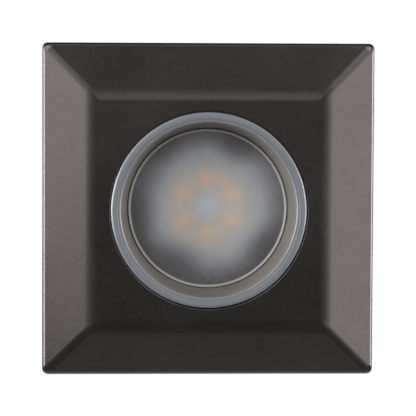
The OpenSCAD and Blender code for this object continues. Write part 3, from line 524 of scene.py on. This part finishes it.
def makeBezel(s):
    half, faceHalf = s["width"] / 2, s["faceWidth"] / 2
    edge, deep = s["back"] - s["lip"], s["front"] + s["skin"]
    piece = bar("bezelCasting", (-half, edge, -half), (half, s["back"], half))
    # slopes up to the flat face
    pickFaces(piece, lambda c, n: n.y < -0.9)
    bpy.ops.mesh.extrude_region_move(TRANSFORM_OT_translate={"value": (0, s["front"] - edge, 0)})
    k = s["faceWidth"] / s["width"]
    bpy.ops.transform.resize(value=(k, 1, k), center_override=(0, s["front"], 0))
    doneEditing()
    # hollow back
    pickFaces(piece, lambda c, n: n.y > 0.9)
    bpy.ops.mesh.inset(thickness=s["rim"])
    bpy.ops.mesh.extrude_region_move(TRANSFORM_OT_translate={"value": (0, -s["lip"], 0)})
    bpy.ops.mesh.extrude_region_move(TRANSFORM_OT_translate={"value": (0, deep - edge, 0)})
    k = s["faceWidth"] / (s["width"] - 2 * s["rim"])
    bpy.ops.transform.resize(value=(k, 1, k), center_override=(0, deep, 0))
    doneEditing()
    cleanShell(piece)

    # each kind of edge gets a bevel weight of its own
    def at(p, y, far):
        return abs(p.y - y) < 1e-6 and abs(max(abs(p.x), abs(p.z)) - far) < 1e-6

    def upright(a, b):
        return abs(a.x - b.x) + abs(a.z - b.z) < 1e-6
    kinds = (
        ("cornerWeight", lambda a, b: upright(a, b) and at(a, a.y, half) and at(b, b.y, half)),
        ("faceWeight", lambda a, b: at(a, s["front"], faceHalf) and at(b, s["front"], faceHalf)),
        ("ridgeWeight", lambda a, b: {at(a, edge, half) and at(b, s["front"], faceHalf),
                                      at(b, edge, half) and at(a, s["front"], faceHalf)} == {True, False}),
        ("lipWeight", lambda a, b: at(a, edge, half) and at(b, edge, half)),
    )
    for weight, test in kinds:
        pickEdges(piece, test)
        bpy.ops.transform.edge_bevelweight(value=s[weight])
        doneEditing()
    b = piece.modifiers.new("soften", "BEVEL")
    b.limit_method = "WEIGHT"
    b.width = s["softest"]
    b.segments = s["bevelSteps"]
    applyModifiers(piece)
    # hole for the lamp, with a rounded mouth
    r, y, q = s["lampHole"], s["front"], s["holeRound"]
    mouth = [(r + q - q * math.sin(t), y + q - q * math.cos(t)) for t in (k * math.pi / 12 for k in range(7))]
    carve(piece, turnedSolid("drill", [(r + q, y - 5 * mm)] + mouth + [(r, 10 * mm)], 160))
    shade(piece, 25)
    return piece


bezel = rideOn(makeBezel(bezelSet), "fixture", "bezel_paint", "bezel")
dress(bezel, material["bezelBronze"])


def makeCollar(s):
    start = s["front"] + s["collarFrom"]
    piece = turned("bezelCollar", [
        (s["collarOut"], s["collarEnd"]), (s["collarIn"], s["collarEnd"]), (s["collarIn"], start),
        (s["collarRoot"], start), (s["collarRoot"], 0), (s["collarOut"], 0)], 128)
    roundEdges(piece, 0.2 * mm, 2)
    # four bosses for the screws of the can
    for k in range(4):
        x, z = s["bossAt"] * math.cos(k * math.pi / 2), s["bossAt"] * math.sin(k * math.pi / 2)
        addTo(piece, rod("boss", (x, start, z), (x, 0, z), s["boss"], 48))
    shade(piece)
    return piece


collar = rideOn(makeCollar(bezelSet), "fixture", "bezel_paint")
dress(collar, material["bezelBronze"])


def makeSleeve(s):
    inside, outside, start = s["lampHole"], s["sleeveOut"], s["front"] + s["sleeveFrom"]
    piece = turned("bezelSleeve", [
        (outside, s["back"]), (inside, s["back"]), (inside, start), (outside, start)], 128)
    roundEdges(piece, 0.2 * mm, 2)
    shade(piece)
    return piece


sleeve = rideOn(makeSleeve(bezelSet), "fixture", "bezel_paint")
dress(sleeve, material["bezelBronze"])
print("bezel made")


glassLow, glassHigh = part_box("lamp_glass")
coverLow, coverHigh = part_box("lamp_cover")
rimSet = {
    "outer": glassHigh.x,
    "crest": glassLow.y,
    "inner": 22.4 * mm,
    "seat": coverHigh.x + 0.03 * mm,
    "neck": glassHigh.y,
    "aside": (-0.04 * mm, 0.05 * mm),   # the lamp hangs a little off the middle of its hole
    # radius, and depth behind the crest, in millimetres
    "bowlInside": ((22.0, 12.6), (19.4, 20), (15.6, 29)),
    "bowlOutside": ((17.3, 29), (21.2, 20), (23.3, 12), (24.05, 5), (24.2, 4.4)),
    "neckInside": 12.0 * mm,
    "neckOutside": 13.6 * mm,
    "pressRings": 2400,          # fineness of the pressed rings
    "rimTones": ((0.255, 0.275, 0.302), (0.34, 0.362, 0.39)),
    "wallTones": ((0.292, 0.27, 0.238), (0.35, 0.323, 0.29)),
    "rough": (0.38, 0.46),
    "metallic": 0.25,
    "coat": 0.2,
    "coatRough": 0.28,
}


def makeRim(s):
    y, outer, inner, seat = s["crest"], s["outer"], s["inner"], s["seat"]
    flat = [(outer, y + 0.9 * mm), (outer - 0.12 * mm, y + 0.34 * mm), (outer - 0.5 * mm, y + 0.06 * mm),
            (outer - 1.1 * mm, y), (inner + 0.85 * mm, y + 0.1 * mm), (inner + 0.72 * mm, y + 0.22 * mm),
            (inner + 0.3 * mm, y + 0.18 * mm), (inner, y + 0.42 * mm)]
    wall = [(seat + 1.1 * mm, y + 5 * mm), (seat + 0.05 * mm, y + 9.2 * mm), (seat - 1 * mm, y + 11 * mm)]
    inside = [(r * mm, y + deep * mm) for r, deep in s["bowlInside"]] + [(s["neckInside"], s["neck"])]
    outside = [(s["neckOutside"], s["neck"])] + [(r * mm, y + deep * mm) for r, deep in s["bowlOutside"]]
    piece = turned("lampRim", flat + wall + inside + outside + [(outer, y + 3.1 * mm)], 144)
    roundEdges(piece, 0.22 * mm, 3, 20)
    shade(piece, 40)
    return piece


def softDistance(tree, vector, x, z):
    flat = tree.nodes.new("ShaderNodeVectorMath")
    flat.operation = "MULTIPLY"
    flat.inputs[1].default_value = (1, 0, 1)
    tree.links.new(vector, flat.inputs[0])
    gap = tree.nodes.new("ShaderNodeVectorMath")
    gap.operation = "DISTANCE"
    gap.inputs[1].default_value = (x, 0, z)
    tree.links.new(flat.outputs["Vector"], gap.inputs[0])
    return gap.outputs["Value"]


def rimGlass(s):
    # satin grey on the flat rim, brown down the wall where the bronze of the bezel shows through the glass
    m, tree, shader, mapping = startMaterial("rimGlass")
    grain = useEffect(tree, fineGrain, mapping.outputs["Vector"], 1500)
    mottle = useEffect(tree, softMottle, mapping.outputs["Vector"], 110)
    # fine rings left by the pressing of the glass
    rings = tree.nodes.new("ShaderNodeTexNoise")
    rings.noise_dimensions = "1D"
    rings.inputs["Scale"].default_value = s["pressRings"]
    tree.links.new(softDistance(tree, mapping.outputs["Vector"], 0, 0), rings.inputs["W"])
    ringTone = rampBetween(tree, rings.outputs["Fac"], 0.36, 0.64)
    split = tree.nodes.new("ShaderNodeSeparateXYZ")
    tree.links.new(mapping.outputs["Vector"], split.inputs["Vector"])
    down = rampBetween(tree, split.outputs["Y"], s["crest"] + 0.2 * mm, s["crest"] + 1.2 * mm)
    rimTone = mixColours(tree, ringTone, *s["rimTones"])
    wallTone = mixColours(tree, grain.outputs["Tone"], *s["wallTones"])
    tree.links.new(mixColours(tree, down, rimTone, wallTone), shader.inputs["Base Color"])
    tree.links.new(rampBetween(tree, mottle.outputs["Tone"], 0, 1, *s["rough"]), shader.inputs["Roughness"])
    shader.inputs["Metallic"].default_value = s["metallic"]
    shader.inputs["Coat Weight"].default_value = s["coat"]
    shader.inputs["Coat Roughness"].default_value = s["coatRough"]
    bumpFrom(tree, shader, grain.outputs["Height"], 0.05, 0.00001)
    return m


rim = makeRim(rimSet)
rim.location = (rimSet["aside"][0], 0, rimSet["aside"][1])
settle(rim)
dress(rim, rimGlass(rimSet))
rideOn(rim, "lamp", "clear_glass", "lamp_glass")

coverSet = {
    "radius": coverHigh.x,
    "back": coverHigh.y,
    "front": coverLow.y,
    "bead": 0.7 * mm,
    "leds": 6,
    "ledRing": 6.9 * mm,
    "ledAt": (-0.2 * mm, 0.5 * mm),
    "ledSpot": 5.1 * mm,
    "warmth": 0.78,
    "core": 6.6 * mm,            # painted light: a lighter middle
    "haze": 0.46,                # warm ring between the spots
    # between these radii the pale cloud fades into painted shade towards the rim
    "cloudFrom": 11.5 * mm,
    "cloudTo": 21.8 * mm,
    "cloudAt": (0.8 * mm, 1.5 * mm),
    "straw": (10.6 * mm, 3.4 * mm, 0.35),   # faint straw ring: radius, width, strength
    # painted shade: darker patches near the edge: right, up, reach, strength
    "shades": ((8.4 * mm, 17.6 * mm, 9 * mm, 0.75), (-9.4 * mm, -16.4 * mm, 11 * mm, 0.9),
               (17.4 * mm, -12.2 * mm, 11.5 * mm, 0.95), (-20 * mm, -1.5 * mm, 9 * mm, 0.6),
               (-13 * mm, 17 * mm, 8 * mm, 0.5)),
    # tones of the painted shade at the rim, of the pale cloud, of the straw ring and of the painted lighter
    # middle
    "rimShadeTones": ((0.12, 0.121, 0.126), (0.19, 0.191, 0.197)),
    "cloudTones": ((0.57, 0.58, 0.62), (0.62, 0.63, 0.665)),
    "strawTone": (0.62, 0.57, 0.45),
    "litMiddleTone": (0.8, 0.81, 0.86),
    "litMiddleShare": 0.75,
    "amberTones": ((0.97, 0.66, 0.47), (0.92, 0.73, 0.48)),
    "beadTones": ((0.56, 0.54, 0.52), (0.62, 0.6, 0.575)),
    "rough": (0.42, 0.52),
}


def makeCover(s):
    r, y = s["radius"], s["front"]
    piece = turnedSolid("frostedCover", [
        (r - 0.15 * mm, s["back"]), (r - 0.15 * mm, y + 0.3 * mm), (r - s["bead"] * 0.35, y),
        (r - s["bead"] * 0.62, y), (r - s["bead"], y + 0.3 * mm), (r - s["bead"] - 0.2 * mm, y + 0.72 * mm),
        (r * 0.7, y + 0.56 * mm), (r * 0.4, y + 0.46 * mm), (r * 0.1, y + 0.42 * mm)], 144)
    shade(piece, 40)
    return piece


def frostedPlastic(s):
    # a diffusing cover, with the board and diodes behind it painted into its colour: a pale cloud with a
    # painted lighter middle, fading into painted shade near its edge and in darker patches, and a warm spot
    # over each diode
    m, tree, shader, mapping = startMaterial("frostedPlastic")
    vector = mapping.outputs["Vector"]
    grain = useEffect(tree, fineGrain, vector, 3200)
    mottle = useEffect(tree, softMottle, vector, 230)
    far = softDistance(tree, vector, 0, 0)
    ledX, ledZ = s["ledAt"]
    ledFar = softDistance(tree, vector, ledX, ledZ)
    warm = None
    for k in range(s["leds"]):
        t = math.pi / 2 + 2 * math.pi * k / s["leds"]
        gap = softDistance(tree, vector, ledX + s["ledRing"] * math.cos(t), ledZ + s["ledRing"] * math.sin(t))
        spot = rampBetween(tree, gap, 0, s["ledSpot"], s["warmth"], 0)
        warm = spot if warm is None else mathNode(tree, "MAXIMUM", warm, spot)
    offRing = mathNode(tree, "ABSOLUTE", mathNode(tree, "SUBTRACT", ledFar, s["ledRing"]))
    warm = mathNode(tree, "MAXIMUM", warm, rampBetween(tree, offRing, 0, s["ledSpot"], s["haze"], 0))
    # painted shade: the cloud falls to the dark rim tone towards the edge, and darker still in each patch
    cloud = rampBetween(tree, softDistance(tree, vector, *s["cloudAt"]), s["cloudFrom"], s["cloudTo"], 1, 0)
    for x, z, reach, strength in s["shades"]:
        patch = rampBetween(tree, softDistance(tree, vector, x, z), reach * 0.15, reach, 1 - strength, 1)
        cloud = mathNode(tree, "MULTIPLY", cloud, patch)
    rimShadeTone = mixColours(tree, grain.outputs["Tone"], *s["rimShadeTones"])
    cloudTone = mixColours(tree, mottle.outputs["Tone"], *s["cloudTones"])
    ringAt, ringWide, ringStrength = s["straw"]
    offStraw = mathNode(tree, "ABSOLUTE", mathNode(tree, "SUBTRACT", far, ringAt))
    strawRing = rampBetween(tree, offStraw, 0, ringWide, ringStrength, 0)
    straw = mathNode(tree, "MULTIPLY", strawRing, mottle.outputs["Tone"])
    cloudTone = mixColours(tree, straw, cloudTone, s["strawTone"])
    # painted light: a lighter middle around the centre of the diodes
    core = rampBetween(tree, ledFar, 0, s["core"], s["litMiddleShare"], 0)
    cloudTone = mixColours(tree, core, cloudTone, s["litMiddleTone"])
    body = mixColours(tree, cloud, rimShadeTone, cloudTone)
    amber = mixColours(tree, mottle.outputs["Tone"], *s["amberTones"])
    lit = mixColours(tree, warm, body, amber)
    beadMask = rampBetween(tree, far, s["radius"] - s["bead"] - 0.25 * mm, s["radius"] - s["bead"], 0, 1)
    beadTone = mixColours(tree, grain.outputs["Tone"], *s["beadTones"])
    tree.links.new(mixColours(tree, beadMask, lit, beadTone), shader.inputs["Base Color"])
    tree.links.new(rampBetween(tree, grain.outputs["Tone"], 0, 1, *s["rough"]), shader.inputs["Roughness"])
    bumpFrom(tree, shader, grain.outputs["Height"], 0.25, 0.00002)
    return m


cover = makeCover(coverSet)
dress(cover, frostedPlastic(coverSet))
rideOn(cover, "lamp", "frosted_plastic", "lamp_cover")
print("lamp front made")


gasket = rideOn(softened("wall_gasket", "foamGasket", 0.22 * mm), "fixture", "gasket_foam", "wall_gasket")
dress(gasket, material["foamBlack"])

canSet = {
    "wall": 0.8 * mm,
    "outer": 27.5 * mm,
    "turret": 19.5 * mm,
    "flange": 32.0 * mm,
    "flangeThick": 1.2 * mm,
    "wideEnd": 37.0 * mm,
    "turretFrom": 45.0 * mm,
    "end": 67.2 * mm,
    "beads": (27.5 * mm, 31.5 * mm),        # pressed grooves, behind the wall plane
    "turretBeads": (50.0 * mm, 62.0 * mm),
    "beadDeep": 0.3 * mm,
}


def makeCan(s):
    t = s["wall"]
    inner = [(s["turret"] - t - 1 * mm, s["end"] - 1.2 * mm), (s["turret"] - t, s["end"] - 2 * mm),
             (s["turret"] - t, s["turretFrom"]), (s["outer"] - t, s["wideEnd"]), (s["outer"] - t, 0),
             (s["flange"], 0), (s["flange"], s["flangeThick"]), (s["outer"] + 0.7 * mm, s["flangeThick"]),
             (s["outer"], s["flangeThick"] + 0.7 * mm)]
    deep = s["beadDeep"]

    def groove(radius, y):
        return [(radius, y - 0.9 * mm), (radius - deep, y - 0.35 * mm), (radius - deep, y + 0.35 * mm),
                (radius, y + 0.9 * mm)]
    wide = [p for y in s["beads"] for p in groove(s["outer"], y)]
    narrow = [p for y in s["turretBeads"] for p in groove(s["turret"], y)]
    shoulder = [(s["outer"], s["wideEnd"] - 1 * mm), (s["outer"] - 0.75 * mm, s["wideEnd"] + 0.7 * mm),
                (s["turret"] + 0.8 * mm, s["turretFrom"] - 0.7 * mm), (s["turret"], s["turretFrom"] + 1 * mm)]
    end = [(s["turret"], s["end"] - 1.2 * mm), (s["turret"] - 0.35 * mm, s["end"] - 0.35 * mm),
           (s["turret"] - 1.2 * mm, s["end"])]
    piece = turnedSolid("canShell", inner + wide + shoulder + narrow + end, 128)
    roundEdges(piece, 0.25 * mm, 2, 18)
    shade(piece, 40)
    return piece


can = rideOn(makeCan(canSet), "fixture", "can_steel", "can")
dress(can, material["canPaint"])
print("can made")

# plain solids that get soft edges: node, piece, body, slot, finish, bevel
softEdged = [
    ("terminal_box", "wiringBox", "fixture", "box_plastic", "boxNylon", 0.22),
    ("terminal_lid", "wiringBoxLid", "lid", "box_plastic", "boxNylon", 0.22),
    ("terminal_block", "terminalStrip", "fixture", "block_plastic", "blockNylon", 0.15),
    ("cord_clamp", "cordClampBar", "fixture", "box_plastic", "boxNylon", 0.25),
    ("cable_grommet", "cableEntryGrommet", "fixture", "grommet_rubber", "grommetRubber", 0.3),
]
for side in ("upper", "lower"):
    node, body = side + "_clip_", side + "_clip"
    softEdged += [
        (node + "bracket", side + "ClipBracket", "fixture", "zinc_steel", "zincPlate", 0.12),
        (node + "arm", side + "ClipArm", body, "zinc_steel", "zincPlate", 0.12),
        (node + "boot", side + "ClipBoot", body, "boot_rubber", "bootRubber", 0.3),
    ]
for node, name, body, slotName, finish, width in softEdged:
    piece = rideOn(softened(node, name, width * mm), body, slotName, node)
    dress(piece, material[finish])
print("soft-edged pieces made:", len(softEdged))


def roundWire(piece, finish):
    m = piece.modifiers.new("roundWire", "SUBSURF")
    m.levels = m.render_levels = 1
    applyModifiers(piece)
    shade(piece, 60, weighted=False)
    dress(piece, material[finish])


def makeSpring(side):
    piece = softened(side + "_clip_spring", side + "ClipSpring", 0)
    roundWire(piece, "springSteel")
    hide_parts(side + "_clip_spring")
    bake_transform(piece)


for side in ("upper", "lower"):
    makeSpring(side)

for node, name, slotName, finish in (("live_lead", "liveWire", "lead_brown", "leadBrown"),
                                     ("neutral_lead", "neutralWire", "lead_blue", "leadBlue"),
                                     ("earth_lead", "earthWire", "lead_green", "leadGreen")):
    roundWire(rideOn(softened(node, name, 0), "fixture", slotName, node), finish)
print("springs and wires made")


studioSet = {
    "azimuth": -2.5,
    "elevation": 3.75,
    "away": 0.6,
    "span": 0.10668,             # width of view at the aim
    "aim": (-0.00005, -0.0015, 0.0003),
    "roll": 0.25,
    "fill": (0.05, 0.05, 0.052),
    # name, azimuth, elevation, distance, size, power
    "softboxes": (("sideLeft", -43, 9, 0.7, (0.28, 0.4), 0.62), ("farLeft", -78, 4, 0.7, (0.3, 0.45), 4.2),
                  ("sideRight", 46, -2, 0.7, (0.28, 0.45), 0.68), ("farRight", 85, 3, 0.7, (0.25, 0.4), 3.6),
                  ("front", 2, 14, 0.9, (0.3, 0.2), 0.2), ("top", -4, 70, 0.8, (0.5, 0.3), 0.34),
                  ("highLeft", -38, 36, 0.8, (0.3, 0.3), 0.98), ("highRight", 40, 35, 0.8, (0.3, 0.3), 0.95),
                  ("rearLeft", -140, 12, 0.8, (0.5, 0.5), 1.8), ("rearRight", 140, 8, 0.8, (0.5, 0.5), 1.4)),
}


def pointAt(obj, target):
    obj.rotation_euler = (Vector(target) - obj.location).to_track_quat("-Z", "Y").to_euler()


def seenFrom(azimuth, elevation, away):
    a, e = math.radians(azimuth), math.radians(elevation)
    return (math.sin(a) * math.cos(e) * away, -math.cos(a) * math.cos(e) * away, math.sin(e) * away)


def addCamera(s):
    data = bpy.data.cameras.new("camera")
    data.lens = data.sensor_width * s["away"] / s["span"]
    camera = bpy.data.objects.new("camera", data)
    bpy.context.scene.collection.objects.link(camera)
    aim = Vector(s["aim"])
    camera.location = aim + Vector(seenFrom(s["azimuth"], s["elevation"], s["away"]))
    pointAt(camera, aim)
    camera.rotation_euler.rotate_axis("Z", math.radians(s["roll"]))
    bpy.context.scene.camera = camera


def addSoftbox(name, azimuth, elevation, away, size, power):
    data = bpy.data.lights.new(name, "AREA")
    data.shape = "RECTANGLE"
    data.size, data.size_y = size
    data.energy = power
    lamp = bpy.data.objects.new(name, data)
    bpy.context.scene.collection.objects.link(lamp)
    lamp.location = seenFrom(azimuth, elevation, away)
    pointAt(lamp, (0, 0, 0))


def addWorld(s):
    world = bpy.data.worlds.new("studio")
    bpy.context.scene.world = world
    world.use_nodes = True
    tree = world.node_tree
    seen = tree.nodes["Background"]
    seen.inputs["Color"].default_value = (1, 1, 1, 1)
    seen.inputs["Strength"].default_value = 1.0
    fill = tree.nodes.new("ShaderNodeBackground")
    fill.inputs["Color"].default_value = (*s["fill"], 1)
    path = tree.nodes.new("ShaderNodeLightPath")
    mix = tree.nodes.new("ShaderNodeMixShader")
    tree.links.new(path.outputs["Is Camera Ray"], mix.inputs["Fac"])
    tree.links.new(fill.outputs["Background"], mix.inputs[1])
    tree.links.new(seen.outputs["Background"], mix.inputs[2])
    tree.links.new(mix.outputs["Shader"], tree.nodes["World Output"].inputs["Surface"])


addCamera(studioSet)
addWorld(studioSet)
for box in studioSet["softboxes"]:
    addSoftbox(*box)
bpy.context.scene.view_settings.view_transform = "Standard"

floorSet = {
    "below": 0.12,               # under the light
    "tones": ((0.85, 0.85, 0.85), (0.88, 0.88, 0.88)),
    "rough": 0.8,
    "half": 0.42,
    "centreY": 0.1,
    "fadeFrom": 0.03,            # where the floor starts to fade into the backdrop
    "fadeTo": 0.3,
}


def makeFloor(s):
    letGo()
    bpy.ops.mesh.primitive_circle_add(vertices=96, radius=s["half"], fill_type="NGON",
                                      location=(0, s["centreY"], cadLow.z - s["below"]))
    piece = bpy.context.object
    piece.name = "floor"
    settle(piece)
    bpy.ops.object.mode_set(mode="EDIT")
    bpy.ops.mesh.select_all(action="SELECT")
    bpy.ops.mesh.inset(thickness=s["half"] / 2)
    doneEditing()
    return piece


def paleFloor(s):
    # pale and matt, fading into the backdrop towards its rim
    m, tree, shader, mapping = startMaterial("paleFloor")
    grain = useEffect(tree, fineGrain, mapping.outputs["Vector"], 400)
    tree.links.new(mixColours(tree, grain.outputs["Tone"], *s["tones"]), shader.inputs["Base Color"])
    shader.inputs["Roughness"].default_value = s["rough"]
    gap = tree.nodes.new("ShaderNodeVectorMath")
    gap.operation = "DISTANCE"
    gap.inputs[1].default_value = (0, s["centreY"], cadLow.z - s["below"])
    tree.links.new(mapping.outputs["Vector"], gap.inputs[0])
    fade = rampBetween(tree, gap.outputs["Value"], s["fadeFrom"], s["fadeTo"], 1, 0)
    tree.links.new(fade, shader.inputs["Alpha"])
    return m


floor = makeFloor(floorSet)
dress(floor, paleFloor(floorSet))
print("studio set")

letGo()
